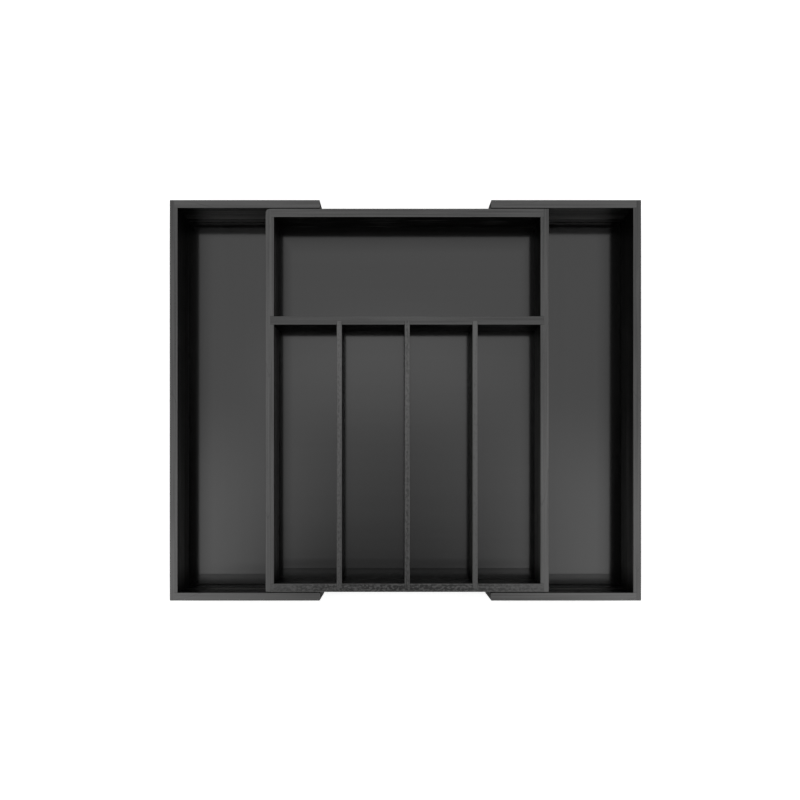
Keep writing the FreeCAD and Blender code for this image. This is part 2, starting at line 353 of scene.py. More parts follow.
@dataclass(frozen=True)
class Handling:
    """Uneven marks that hands and cutlery leave, with the grain along X."""

    broad: Cloud = Cloud((14.0, 14.0, 14.0), 3.0)
    broad_share: float = 0.4
    streak: Cloud = Cloud((8.0, 480.0, 480.0))
    streak_share: float = 0.6
    streak_range: Pair = (0.36, 0.64)
    patch_range: Pair = (0.36, 0.62)
    patch_levels: Pair = (0.84, 1.0)
    fleck: Cloud = Cloud((330.0, 520.0, 520.0))
    fleck_range: Pair = (0.38, 0.64)
    scuff: Cloud = Cloud((24.0, 400.0, 400.0))
    scuff_range: Pair = (0.57, 0.67)

    def make(self) -> bpy.types.ShaderNodeTree:
        """Build the node group.

        Returns:
            A group that breaks a smooth rim mask up into a patchy one and gives streaks, flecks and scuffs.
        """
        inputs = {"Vector": "NodeSocketVector", "Mask": "NodeSocketFloat"}
        group = start_group("handling", inputs, ("Rub", "Streak", "Fleck", "Scuff"))
        graph = Graph(group)
        start = graph.add("NodeGroupInput")
        place = start.outputs["Vector"]
        streak = graph.cloud(place, self.streak)
        patch = graph.times(graph.cloud(place, self.broad), self.broad_share)
        patch = graph.plus(patch, graph.times(streak, self.streak_share))
        patch = graph.spread(patch, self.patch_range, self.patch_levels)
        graph.add(
            "NodeGroupOutput",
            Rub=graph.times(patch, start.outputs["Mask"]),
            Streak=graph.spread(streak, self.streak_range),
            Fleck=graph.spread(graph.cloud(place, self.fleck), self.fleck_range),
            Scuff=graph.spread(graph.cloud(place, self.scuff), self.scuff_range),
        )
        return group


class Effects:
    """Shader node groups that several finishes share, each built once."""

    def __init__(self) -> None:
        """Build the groups."""
        self.fibre = BambooFibre().make()
        self.handling = Handling().make()


Run = Triple


def even(value: float) -> Run:
    """Return a run that is the same from end to end."""
    return (value, value, value)


@dataclass(frozen=True)
class Look:
    """How one board differs from the next.

    Rim, flecks, paleness and lacquer run from the board's left or front end through its middle to the other
    end. The rim runs carry painted light: they are set lighter towards the front and, on the front wall,
    darker in the middle as painted shade, where the shade behind the camera falls. Below its foot the board
    is rubbed dull.
    """

    sheen: float = 0.004
    rim: Run = even(0.32)
    fleck: Run = even(0.45)
    speckle: float = 0.15
    # How far the faces fade to a lighter grey, set board by board, mostly lighter towards the front.
    paleness: Run = even(0.07)
    lacquer: Run = even(0.0)
    scuff: float = 0.20
    foot: float = -5.0 * MM


# The strips under the tray are handled alike.
HIDDEN_LOOK = Look(paleness=even(0.35))


@dataclass(frozen=True)
class StainedBamboo:
    """Black stain on laminated bamboo with its grain along one axis, lacquered over the rim."""

    grain: Axis
    seed: float
    look: Look = Look()
    edges: Pair = (-1.0, 1.0)
    length: Pair = (-1.0, 1.0)
    shift: Triple = (0.37, 0.83, 0.59)
    dark: Colour = (0.0010, 0.0010, 0.0010, 1.0)
    light: Colour = (0.0036, 0.0036, 0.0035, 1.0)
    faded: Colour = (0.0800, 0.0795, 0.0786, 1.0)
    hollow: Colour = (0.0045, 0.0045, 0.0044, 1.0)
    rubbed: Colour = (0.0550, 0.0546, 0.0540, 1.0)
    # Wear and painted highlight along the rim's long edges.
    worn_and_highlight: Colour = (0.0480, 0.0476, 0.0470, 1.0)
    bare: Colour = (0.0560, 0.0555, 0.0546, 1.0)
    end_grain: Colour = (0.0420, 0.0417, 0.0412, 1.0)
    plies: Cloud = Cloud((1.0, 480.0, 36.0))
    ply_range: Pair = (0.35, 0.65)
    ply_levels: Pair = (0.45, 1.0)
    edge_fade: Pair = (0.4 * MM, 1.7 * MM)
    edge_share: float = 0.45
    knuckle_share: float = 0.4
    outside_wear: float = 0.40
    foot_wear: float = 1.0
    foot_fade: float = 3.0 * MM
    # Painted shade: the faded colour drops to these levels over this distance from the inside corners.
    corner_fade: Pair = (12.0 * MM, 36.0 * MM)
    corner_levels: Pair = (0.12, 1.0)
    satin: float = 0.34
    satin_drop: float = 0.08
    end_dullness: float = 0.3
    bump_strength: float = 0.3
    bump_depth: float = 0.06 * MM
    lacquer_satin: float = 0.19
    lacquer_index: float = 1.60

    def edge_wear_and_highlight(self, graph: Graph) -> Socket:
        """Return a mask that is 1 at the long edges of the board, where the rim is worn lighter and a
        highlight is painted.
        """
        across = Axis.Y if self.grain is Axis.X else Axis.X
        return graph.spread(graph.inset(across, self.edges), self.edge_fade, (1.0, 0.0))

    def painted_corner_shade(self, graph: Graph) -> Socket:
        """Return a factor that darkens the board's faded colour towards the corners at its ends, as painted
        shade.
        """
        return graph.spread(graph.inset(self.grain, self.length), self.corner_fade, self.corner_levels)

    def run(self, graph: Graph, values: Run) -> Socket:
        """Return a value that runs along the board.

        Args:
            graph: Graph of the material.
            values: Value at the left or front end, in the middle and at the other end.

        Returns:
            The value's socket.
        """
        along = graph.along(self.grain)
        start, finish = self.length
        middle = (start + finish) / 2
        first = graph.spread(along, (start, middle), (values[0], values[1]))
        return graph.plus(first, graph.spread(along, (middle, finish), (0.0, values[2] - values[1])))

    def rim_colour(self, graph: Graph, marks: bpy.types.Node) -> Socket:
        """Return the colour of the rubbed and flecked rim, lighter along its long edges as wear and painted
        highlight.

        Args:
            graph: Graph of the material.
            marks: Node of the handling group.

        Returns:
            The colour's socket.
        """
        speckle = graph.times(marks.outputs["Fleck"], self.look.speckle)
        fleck = graph.plus(graph.times(marks.outputs["Streak"], 1.0 - self.look.speckle), speckle)
        fleck = graph.times(graph.minus(fleck, 0.5), self.run(graph, self.look.fleck))
        fleck = graph.plus(fleck, self.run(graph, self.look.rim))
        edge = graph.times(self.edge_wear_and_highlight(graph), self.edge_share)
        return graph.blend(edge, graph.blend(fleck, self.hollow, self.rubbed), self.worn_and_highlight)

    def make(self, name: str, effects: Effects) -> bpy.types.Material:
        """Build the material of one board.

        Args:
            name: Name of the material.
            effects: Shared node groups.

        Returns:
            The material.
        """
        material, graph = start_material(name)
        pattern = graph.pattern(self.grain, self.shift, self.seed)
        rim, raw, outside, end = (graph.mark(mark) for mark in ("rim", "raw", "outside", "end"))
        fibre = graph.add("ShaderNodeGroup", {"node_tree": effects.fibre}, Vector=pattern)
        marks = graph.add("ShaderNodeGroup", {"node_tree": effects.handling}, Vector=pattern, Mask=rim)
        tone = fibre.outputs["Tone"]
        painted_corner_shade = self.painted_corner_shade(graph)
        foot_edge = (self.look.foot, self.look.foot + self.foot_fade)
        foot = graph.spread(graph.along(Axis.Z), foot_edge, (1.0, 0.0))

        # The faces fade lighter along the paleness run, and more below the foot.
        inner_paleness = graph.plus(self.run(graph, self.look.paleness), graph.times(foot, self.foot_wear))
        # Painted shade darkens the fading towards the corners.
        fading = graph.larger(graph.times(outside, self.outside_wear), graph.times(painted_corner_shade, inner_paleness))
        fading = graph.plus(fading, graph.times(marks.outputs["Scuff"], self.look.scuff))
        colour = graph.blend(tone, self.dark, self.light)
        colour = graph.blend(fading, colour, graph.blend(tone, self.dark, self.faded))
        plies = graph.spread(graph.cloud(pattern, self.plies), self.ply_range, self.ply_levels)
        colour = graph.blend(end, colour, graph.blend(plies, self.dark, self.end_grain))
        colour = graph.blend(rim, colour, self.rim_colour(graph, marks))
        # The bare colour in the grooves takes the painted corner shade too.
        colour = graph.blend(graph.times(raw, painted_corner_shade), colour, self.bare)
        knuckle = graph.times(fibre.outputs["Knuckle"], self.knuckle_share)
        colour = graph.blend(knuckle, colour, self.dark)

        rough = graph.minus(self.satin, graph.times(tone, self.satin_drop))
        inside = graph.minus(1.0, graph.larger(outside, end))
        lacquer = graph.times(inside, self.run(graph, self.look.lacquer))
        lacquer = graph.times(lacquer, graph.minus(1.0, foot))
        bump = graph.add("ShaderNodeBump", Strength=self.bump_strength, Distance=self.bump_depth)
        graph.feed(bump.inputs["Height"], fibre.outputs["Height"])
        graph.shade(
            Base_Color=colour,
            Roughness=graph.plus(rough, graph.times(end, self.end_dullness)),
            Specular_IOR_Level=self.look.sheen,
            Normal=bump.outputs["Normal"],
            Coat_Weight=graph.larger(marks.outputs["Rub"], lacquer),
            Coat_Roughness=self.lacquer_satin,
            Coat_IOR=self.lacquer_index,
            Coat_Normal=bump.outputs["Normal"],
        )
        return material


@dataclass(frozen=True)
class WallShadeStrip:
    """Strip of a panel beside a wall where the lacquer's weight drops, as painted shade beside the wall."""

    axis: Axis
    wall: float
    fade: Pair = (9.0 * MM, 28.0 * MM)
    share: float = 0.70


@dataclass(frozen=True)
class LacqueredPanel:
    """Clear gloss over a black thin board, with a faint haze, a dip along its front edge and painted shade
    beside its walls.
    """

    grain: Axis
    seed: float
    front: float
    strips: tuple[WallShadeStrip, ...] = ()
    shift: Triple = (0.41, 0.77, 0.53)
    dark: Colour = (0.0004, 0.0004, 0.0004, 1.0)
    light: Colour = (0.0050, 0.0050, 0.0049, 1.0)
    haze: float = 0.05
    mist: Cloud = Cloud((11.0, 11.0, 11.0), 3.0)
    mist_range: Pair = (0.3, 0.7)
    dullness: Pair = (0.23, 0.31)
    peel: Cloud = Cloud((260.0, 260.0, 260.0), 1.0)
    peel_share: float = 0.6
    fibre_share: float = 0.4
    bump_strength: float = 0.12
    bump_depth: float = 0.08 * MM
    gloss: float = 0.115
    lacquer_index: float = 1.565
    dip_width: float = 14.0 * MM
    dip_slope: float = 0.078

    def painted_wall_shade(self, graph: Graph) -> Source:
        """Return the lacquer's weight, lowered beside the walls as painted shade.

        Args:
            graph: Graph of the material.

        Returns:
            The weight, 1 away from the walls.
        """
        left: Source = 1.0
        for strip in self.strips:
            away = graph.distance(graph.along(strip.axis), strip.wall)
            left = graph.calculate("MINIMUM", graph.spread(away, strip.fade, (strip.share, 1.0)), left)
        return left

    def front_dip(self, graph: Graph) -> Socket:
        """Return the height of the surface where it sinks towards the front wall.

        The slope grows with the square of the distance over one width and dies away over the next.

        Args:
            graph: Graph of the material.

        Returns:
            The height in metres.
        """
        rise = self.dip_slope * self.dip_width
        widths = graph.times(graph.minus(graph.along(Axis.Y), self.front), 1.0 / self.dip_width)
        near = graph.times(graph.calculate("POWER", graph.spread(widths, (0.0, 1.0)), 3.0), rise / 3)
        far = graph.spread(widths, (1.0, 2.0))
        far = graph.minus(far, graph.times(graph.calculate("POWER", far, 2.0), 0.5))
        return graph.plus(near, graph.times(far, rise))

    def make(self, name: str, effects: Effects) -> bpy.types.Material:
        """Build the material of one floor panel.

        Args:
            name: Name of the material.
            effects: Shared node groups.

        Returns:
            The material.
        """
        material, graph = start_material(name)
        pattern = graph.pattern(self.grain, self.shift, self.seed)
        fibre = graph.add("ShaderNodeGroup", {"node_tree": effects.fibre}, Vector=pattern)
        tone = fibre.outputs["Tone"]
        peel = graph.times(graph.cloud(pattern, self.peel), self.peel_share)
        height = graph.plus(peel, graph.times(tone, self.fibre_share))
        dip = graph.add("ShaderNodeBump", Strength=1.0, Distance=1.0, Height=self.front_dip(graph))
        bump = graph.add("ShaderNodeBump", Strength=self.bump_strength, Distance=self.bump_depth)
        graph.feed(bump.inputs["Height"], height)
        graph.feed(bump.inputs["Normal"], dip.outputs["Normal"])
        graph.shade(
            Base_Color=graph.blend(tone, self.dark, self.light),
            Roughness=graph.spread(graph.cloud(pattern, self.mist), self.mist_range, self.dullness),
            Specular_IOR_Level=self.haze,
            Normal=bump.outputs["Normal"],
            Coat_Weight=self.painted_wall_shade(graph),
            Coat_Roughness=self.gloss,
            Coat_IOR=self.lacquer_index,
            Coat_Normal=bump.outputs["Normal"],
        )
        return material


Finish = StainedBamboo | LacqueredPanel


@dataclass(frozen=True)
class Cut:
    """A box to cut out of a board, run past it along the axes that it goes through."""

    low: Vector
    high: Vector
    through: tuple[Axis, ...] = ()


def grown(node: str, play: float, through: tuple[Axis, ...] = ()) -> Cut:
    """Return the room that one CAD node needs in another.

    Args:
        node: Name of the CAD node that is let in.
        play: Gap on every side of it.
        through: Axes along which the cut runs right through.

    Returns:
        The box to cut.
    """
    low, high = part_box(node)
    gap = Vector((play, play, play))
    return Cut(low - gap, high + gap, through)


EdgeTest = Callable[[Vector, Vector], bool]
PartTest = Callable[[bpy.types.MeshVertex | bpy.types.MeshPolygon], bool]


def same(first: float, second: float) -> bool:
    """Tell whether two places are the same."""
    return abs(first - second) < SAME


def upright_at(place: float, back: float | None = None) -> EdgeTest:
    """Return a test of upright edges in the face at one place along X.

    Args:
        place: Place of the face.
        back: Place along Y of the one edge wanted, or None for every edge of the face.

    Returns:
        The test.
    """

    def wanted(first: Vector, second: Vector) -> bool:
        """Tell whether an edge stands in the face."""
        in_face = same(first.x, place) and same(second.x, place) and not same(first.z, second.z)
        return in_face and (back is None or same(first.y, back))

    return wanted


def rim_edges(height: float, along: Axis, free_ends: tuple[float, ...]) -> EdgeTest:
    """Return a test of the edges that hands can reach around a board's rim.

    Args:
        height: Height of the rim.
        along: Axis of the board's length.
        free_ends: Places along it of the ends that aren't let into another board.

    Returns:
        The test.
    """

    def runs_free(start: float, finish: float) -> bool:
        """Tell whether an edge runs along the board or lies at a free end."""
        return not same(start, finish) or any(same(start, end) for end in free_ends)

    def wanted(first: Vector, second: Vector) -> bool:
        """Tell whether an edge is one of the rim's free ones."""
        at_rim = same(first.z, height) and same(second.z, height)
        return at_rim and runs_free(first[along.value], second[along.value])

    return wanted


@dataclass(frozen=True)
class Plan:
    """How one board is cut: what it stands for, its cuts, its rounded corners and its marked faces."""

    node: str
    along: Axis
    cuts: tuple[Cut, ...] = ()
    rounds: tuple[tuple[EdgeTest, float], ...] = ()
    free_ends: tuple[float, ...] = ()
    raw: Cut | None = None
    is_wall: bool = True

    def outside(self) -> Vector:
        """Return the direction that the board's outer face looks in.

        Returns:
            The direction, or no direction for a divider.
        """
        low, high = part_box(self.node)
        across = (Axis.Y if self.along is Axis.X else Axis.X).value
        direction = Vector((0.0, 0.0, 0.0))
        direction[across] = math.copysign(1.0, low[across] + high[across]) if self.is_wall else 0.0
        return direction


def pick(piece: Piece) -> None:
    """Select one object alone and make it the active one.

    Args:
        piece: Object to select.
    """
    bpy.ops.object.select_all(action="DESELECT")
    piece.select_set(True)
    bpy.context.view_layer.objects.active = piece


@dataclass
class Workshop:
    """Tools that shape a board, with the sizes of its finishing touches."""

    rim_ease: float = 0.45 * MM
    rim_steps: int = 3
    rim_share: float = 0.9
    corner_ease: float = 0.7 * MM
    arris: float = 0.04 * MM
    arris_steps: int = 2
    arris_angle: float = 0.7
    smooth_angle: float = 0.6
    facing: float = 0.8
    sanding_step: float = 11.0 * MM
    sanding_dip: float = 0.10 * MM
    sanding_waves: Pair = (24.0, 70.0)
    fine_share: float = 0.5
    first_seed: float = 1.0
    seed_step: float = 1.7
    effects: Effects = field(default_factory=Effects)

    def blank(self, name: str, low: Vector, high: Vector) -> Piece:
        """Add a plain board between two corners.

        Args:
            name: Name of the piece.
            low: Lowest corner.
            high: Highest corner.

        Returns:
            The board, active, with its place in its mesh.
        """
        bpy.ops.object.select_all(action="DESELECT")
        bpy.ops.mesh.primitive_cube_add(size=1.0, location=(low + high) / 2, scale=high - low)
        board = bpy.context.active_object
        board.name = name
        board.data.name = name
        bpy.ops.object.transform_apply(location=True, rotation=True, scale=True)
        return board

    def modify(self, board: Piece, kind: str, **settings: object) -> None:
        """Add a modifier to a board and apply it.

        Args:
            board: Board to shape.
            kind: Blender's name of the modifier type.
            settings: Modifier properties to set, by name.
        """
        pick(board)
        tool = board.modifiers.new(kind.lower(), kind)
        for name, value in settings.items():
            setattr(tool, name, value)
        bpy.ops.object.modifier_apply(modifier=tool.name)

    def bevel_edges(self, board: Piece, wanted: EdgeTest, size: float, steps: int) -> None:
        """Round the edges of a board that pass a test.

        Args:
            board: Board to shape.
            wanted: Test of an edge's two ends.
            size: Width of the rounding.
            steps: Number of faces across it.
        """
        bpy.ops.object.mode_set(mode="EDIT")
        bpy.ops.mesh.select_mode(type="EDGE")
        bpy.ops.mesh.select_all(action="DESELECT")
        mesh = bmesh.from_edit_mesh(board.data)
        for edge in mesh.edges:
            first, second = edge.verts
            edge.select_set(wanted(first.co, second.co))
        mesh.select_flush_mode()
        bmesh.update_edit_mesh(board.data)
        bpy.ops.mesh.bevel(offset=size, offset_type="OFFSET", segments=steps, affect="EDGES")
        bpy.ops.object.mode_set(mode="OBJECT")

    def cut_out(self, board: Piece, cut: Cut) -> None:
        """Cut a box out of a board.

        Args:
            board: Board to shape.
            cut: Box to remove.
        """
        low = cut.low.copy()
        high = cut.high.copy()
        for axis in cut.through:
            spots = [corner.co[axis.value] for corner in board.data.vertices]
            low[axis.value] = min(spots) - OVERRUN
            high[axis.value] = max(spots) + OVERRUN
        cutter = self.blank(f"{board.name}_cutter", low, high)
        self.modify(board, "BOOLEAN", operation="DIFFERENCE", solver="EXACT", object=cutter)
        bpy.data.meshes.remove(cutter.data)

    def soften(self, board: Piece) -> None:
        """Break the sharp arrises that the cuts left on a board."""
        limit = {"limit_method": "ANGLE", "angle_limit": self.arris_angle}
        self.modify(board, "BEVEL", width=self.arris, segments=self.arris_steps, **limit)

    def on_rim(self, corner: bpy.types.MeshVertex, rim: float) -> bool:
        """Tell whether a corner of a board belongs to its rim."""
        return corner.co.z > rim - self.rim_ease * self.rim_share

    def sand(self, board: Piece, along: Axis, rim: float) -> None:
        """Divide a board along its length and dip its rim a little, as sanding by hand leaves it.

        Args:
            board: Board to shape.
            along: Axis of its length.
            rim: Height of the rim.
        """
        spots = [corner.co[along.value] for corner in board.data.vertices]
        first = min(spots)
        length = max(spots) - first
        count = int(length / self.sanding_step)
        normal = Vector((0.0, 0.0, 0.0))
        normal[along.value] = 1.0
        bpy.ops.object.mode_set(mode="EDIT")
        for number in range(1, count):
            bpy.ops.mesh.select_all(action="SELECT")
            spot = normal * (first + length * number / count)
            bpy.ops.mesh.bisect(plane_co=spot, plane_no=normal)
        bpy.ops.object.mode_set(mode="OBJECT")
        for corner in board.data.vertices:
            if self.on_rim(corner, rim):
                broad, fine = (noise.noise(corner.co * wave) for wave in self.sanding_waves)
                wave = broad + self.fine_share * fine
                corner.co.z -= self.sanding_dip * max(0.0, min(1.0, 0.5 + wave))

    def mark(self, board: Piece, name: str, domain: Domain, wanted: PartTest) -> None:
        """Store which corners or faces of a board pass a test, for the finish to read.

        Args:
            board: Finished board.
            name: Name of the mark.
            domain: Parts to mark.
            wanted: Test of a part.
        """
        marks = board.data.attributes.new(name, "FLOAT", domain.value)
        for part in board.data.polygons if domain is Domain.FACE else board.data.vertices:
            marks.data[part.index].value = float(wanted(part))

    def lines(self, groove: Cut, face: bpy.types.MeshPolygon) -> bool:
        """Tell whether a face lines a groove that the stain hardly reached.

        Args:
            groove: Cut that made the groove.
            face: Face of the board.

        Returns:
            True if the face lies in the groove.
        """
        across = [axis.value for axis in Axis if axis not in groove.through]
        return all(
            groove.low[axis] - self.arris < face.center[axis] < groove.high[axis] + self.arris
            for axis in across
        )

    def board(self, plan: Plan) -> Piece:
        """Make the board that stands for a CAD node.

        Args:
            plan: How the board is cut.

        Returns:
            The finished board, not yet dressed.
        """
        low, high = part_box(plan.node)
        board = self.blank(f"{plan.node}_board", low, high)
        for wanted, radius in plan.rounds:
            self.bevel_edges(board, wanted, radius, self.rim_steps + int(radius / MM))
        free = rim_edges(high.z, plan.along, plan.free_ends)
        self.bevel_edges(board, free, self.rim_ease, self.rim_steps)
        for cut in plan.cuts:
            self.cut_out(board, cut)
        self.soften(board)
        self.sand(board, plan.along, high.z)
        outside, along = plan.outside(), plan.along.value
        self.mark(board, "rim", Domain.CORNER, lambda corner: self.on_rim(corner, high.z))
        self.mark(board, "outside", Domain.FACE, lambda face: face.normal.dot(outside) > self.facing)
        self.mark(board, "end", Domain.FACE, lambda face: abs(face.normal[along]) > self.facing)
        if plan.raw is not None:
            self.mark(board, "raw", Domain.FACE, lambda face: self.lines(plan.raw, face))
        pick(board)
        bpy.ops.object.shade_smooth_by_angle(angle=self.smooth_angle)
        self.modify(board, "WEIGHTED_NORMAL", keep_sharp=True)
        return board

    def dress(self, piece: Piece, finish: Finish) -> None:
        """Give a piece or CAD node its finish.

        Args:
            piece: Object to dress.
            finish: Finish to build.
        """
        piece.data.materials.clear()
        piece.data.materials.append(finish.make(f"{piece.name}_finish", self.effects))
        LOG.info("%s is dressed as %s", piece.name, type(finish).__name__)

    def attach(self, made: dict[str, Piece], looks: dict[str, Look], body: Body) -> list[Piece]:
        """Dress boards along their grain, hide the CAD nodes they stand for and let them ride on a body.

        Args:
            made: Boards by the name of their CAD node.
            looks: Look of each board, by the same names.
            body: Body that carries them.

        Returns:
            The boards.
        """
        for number, (node, piece) in enumerate(made.items()):
            low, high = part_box(node)
            grain = Axis.X if high.x - low.x > high.y - low.y else Axis.Y
            edges, length = (low.y, high.y), (low.x, high.x)
            if grain is Axis.Y:
                edges, length = length, edges
            seed = self.first_seed + self.seed_step * number + len(body.value)
            self.dress(piece, StainedBamboo(grain, seed, looks[node], edges, length))
            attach(piece, body.value)
            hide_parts(node)
            LOG.info("%s rides on %s", piece.name, body.value)
        return list(made.values())


@dataclass
class MainTray:
    """The middle tray with its bay across the back and its four slots."""

    shop: Workshop
    housing_play: float = 0.03 * MM
    seat_play: float = 0.02 * MM
    corner_round: float = 4.5 * MM
    dip_width: float = 12.0 * MM
    dip_slope: float = 0.098
    side_fade: Pair = (5.0 * MM, 16.0 * MM)
    right_share: float = 0.82
    panel_seed: float = 3.1
    rail_seed: float = 21.0

    def looks(self) -> dict[str, Look]:
        """Return the look of each board.

        Returns:
            The looks, by the names of the boards' CAD nodes.
        """
        # Rim runs carry painted light: lighter towards the front, and the front wall's rim darker in the
        # middle as painted shade.
        side = {"fleck": even(0.55), "scuff": 0.45}
        slot = {"fleck": even(1.1), "speckle": 0.7, "paleness": even(0.49)}
        front = {"sheen": 0.008, "fleck": (0.6, 2.6, 0.6), "speckle": 0.75, "scuff": 0.35}
        return {
            "main_left_wall": Look(rim=(0.76, 0.56, 0.46), paleness=(1.05, 0.60, 0.22), **side),
            "main_right_wall": Look(rim=(0.97, 0.68, 0.12), paleness=(1.25, 0.65, -0.40), **side),
            "main_front_wall": Look(rim=(0.46, 0.27, 0.48), paleness=(0.20, 0.16, 0.15), **front),
            "main_back_wall": Look(sheen=0.001, rim=even(0.37), paleness=even(0.02), scuff=0.6),
            "cross_divider": Look(sheen=0.001, rim=even(0.03), paleness=(-0.04, -0.04, 0.36), scuff=0.45),
            "slot_divider_left": Look(rim=even(0.74), **slot),
            "slot_divider_middle": Look(rim=even(0.54), **slot),
            "slot_divider_right": Look(rim=even(1.05), **slot),
        }

    def side_wall(self, side: Side) -> Piece:
        """Make a side wall, rebated for the front and back walls.

        Args:
            side: Side of the tray.

        Returns:
            The board.
        """
        node = f"main_{side.value}_wall"
        low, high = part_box(node)
        outer = low.x if side is Side.LEFT else high.x
        cuts = [grown(f"main_{end.value}_wall", self.seat_play, (Axis.Z,)) for end in End]
        cuts += [grown("main_floor_panel", self.seat_play), grown("cross_divider", self.housing_play)]
        back = self.corner_round if side is Side.LEFT else self.shop.corner_ease
        rounds = ((upright_at(outer, low.y), self.shop.corner_ease), (upright_at(outer, high.y), back))
        return self.shop.board(Plan(node, Axis.Y, tuple(cuts), rounds, (low.y, high.y)))

    def end_wall(self, end: End) -> Piece:
        """Make the front or back wall, grooved for the floor and seated for its rail.

        Args:
            end: End of the tray.

        Returns:
            The board.
        """
        cuts = [grown("main_floor_panel", self.seat_play, (Axis.X,))]
        cuts.append(grown(f"{end.value}_guide_rail", self.seat_play, (Axis.X,)))
        if end is End.FRONT:
            cuts += [grown(node, self.housing_play) for node in self.slot_dividers()]
        return self.shop.board(Plan(f"main_{end.value}_wall", Axis.X, tuple(cuts)))

    def slot_dividers(self) -> list[str]:
        """Return the names of the thin dividers."""
        return [f"slot_divider_{place}" for place in ("left", "middle", "right")]

    def build(self) -> list[Piece]:
        """Make, dress and attach every piece of the main tray.

        Returns:
            The new pieces.
        """
        made = {f"main_{side.value}_wall": self.side_wall(side) for side in Side}
        made.update({f"main_{end.value}_wall": self.end_wall(end) for end in End})
        housings = tuple(grown(node, self.housing_play) for node in self.slot_dividers())
        made["cross_divider"] = self.shop.board(Plan("cross_divider", Axis.X, housings, is_wall=False))
        for node in self.slot_dividers():
            made[node] = self.shop.board(Plan(node, Axis.Y, is_wall=False))
        return self.shop.attach(made, self.looks(), Body.MAIN)

    def dress_nodes(self) -> None:
        """Give the floor panel and the guide rails their finishes."""
        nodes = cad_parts
        # Painted shade beside the back and side walls.
        strips = (
            WallShadeStrip(Axis.Y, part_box("main_back_wall")[0].y),
            WallShadeStrip(Axis.X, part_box("main_left_wall")[1].x, self.side_fade),
            WallShadeStrip(Axis.X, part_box("main_right_wall")[0].x, self.side_fade, self.right_share),
        )
        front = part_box("main_front_wall")[1].y
        dip = {"dip_width": self.dip_width, "dip_slope": self.dip_slope}
        panel = LacqueredPanel(Axis.X, self.panel_seed, front, strips, **dip)
        self.shop.dress(nodes["main_floor_panel"], panel)
        for number, end in enumerate(End):
            rail = StainedBamboo(Axis.X, self.rail_seed + number, HIDDEN_LOOK)
            self.shop.dress(nodes[f"{end.value}_guide_rail"], rail)


@dataclass
class Extension:
    """A three-walled tray that slides out from under the main one."""

    shop: Workshop
    side: Side
    panel_seed: float
    side_rim: Run
    front_rim: float
    seat_play: float = 0.02 * MM
    guide_play: float = 0.4 * MM
    guide_end_play: float = 1.0 * MM
    batten_seed_step: float = 20.0

    def node(self, piece: str) -> str:
        """Return the name of one of the extension's CAD nodes."""
        return f"{self.side.value}_{piece}"

    def looks(self) -> dict[str, Look]:
        """Return the look of each board.

        Returns:
            The looks, by the names of the boards' CAD nodes.
        """
        # The side rims running lighter towards the front, and the front rims lighter than the back, carry
        # painted light.
        back = {"fleck": even(0.35), "paleness": even(0.45), "lacquer": even(0.24), "foot": 10.0 * MM}
        return {
            self.node("side_wall"): Look(rim=self.side_rim, paleness=(0.80, 0.22, 0.03)),
            self.node("front_wall"): Look(rim=even(self.front_rim), paleness=even(0.10), lacquer=even(0.14)),
            self.node("back_wall"): Look(rim=even(0.62), **back),
        }

    def side_wall(self) -> Piece:
        """Make the outer wall, rebated for the front and back walls.

        Returns:
            The board.
        """
        node = self.node("side_wall")
        low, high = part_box(node)
        outer = low.x if self.side is Side.LEFT else high.x
        cuts = [grown(self.node(f"{end.value}_wall"), self.seat_play, (Axis.Z,)) for end in End]
        cuts.append(grown(self.node("floor_panel"), self.seat_play))
        rounds = ((upright_at(outer), self.shop.corner_ease),)
        return self.shop.board(Plan(node, Axis.Y, tuple(cuts), rounds, (low.y, high.y)))

    def end_wall(self, end: End) -> Piece:
        """Make the front or back wall with its guide groove.

        Args:
            end: End of the tray.

        Returns:
            The board.
        """
        node = self.node(f"{end.value}_wall")
        low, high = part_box(node)
        free = high.x if self.side is Side.LEFT else low.x
        rail_low, rail_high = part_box(f"{end.value}_guide_rail")
        room = Vector((0.0, self.guide_end_play, self.guide_play))
        groove = Cut(rail_low - room, rail_high + room, (Axis.X,))
        floor = grown(self.node("floor_panel"), self.seat_play, (Axis.X,))
        rounds = ((upright_at(free), self.shop.corner_ease),)
        return self.shop.board(Plan(node, Axis.X, (groove, floor), rounds, (free,), groove))

    def build(self) -> list[Piece]:
        """Make, dress and attach every piece of the extension.

        Returns:
            The new pieces.
        """
        made = {self.node("side_wall"): self.side_wall()}
        made.update({self.node(f"{end.value}_wall"): self.end_wall(end) for end in End})
        return self.shop.attach(made, self.looks(), Body[self.side.name])

    def dress_nodes(self) -> None:
        """Give the floor panel and the stop batten their finishes."""
        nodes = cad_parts
        low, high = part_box(self.node("side_wall"))
        # Painted shade beside the side wall.
        strips = (WallShadeStrip(Axis.X, high.x if self.side is Side.LEFT else low.x),)
        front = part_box(self.node("front_wall"))[1].y
        panel = LacqueredPanel(Axis.Y, self.panel_seed, front, strips)
        self.shop.dress(nodes[self.node("floor_panel")], panel)
        batten = StainedBamboo(Axis.Y, self.panel_seed + self.batten_seed_step, HIDDEN_LOOK)
        self.shop.dress(nodes[self.node("stop_batten")], batten)


@dataclass(frozen=True)
class Patch:
    """Soft oval patch of light or shade, with the distances, in radii, between which it fades."""

    middle: Triple
    radii: Triple
    fade: Pair
    level: float

    def make(self, graph: Graph, place: Socket) -> Socket:
        """Build the patch.

        Args:
            graph: Graph of the material or lamp.
            place: Socket of the place.

        Returns:
            A value that is the level in the middle and eases to 0.
        """
        away = graph.join("ShaderNodeVectorMath", {"operation": "SUBTRACT"}, place, self.middle)
        away = graph.join("ShaderNodeVectorMath", {"operation": "DIVIDE"}, away, self.radii)
        length = graph.add("ShaderNodeVectorMath", {"operation": "LENGTH"}, Vector=away)
        return graph.spread(length.outputs["Value"], self.fade, (self.level, 0.0), smooth=True)


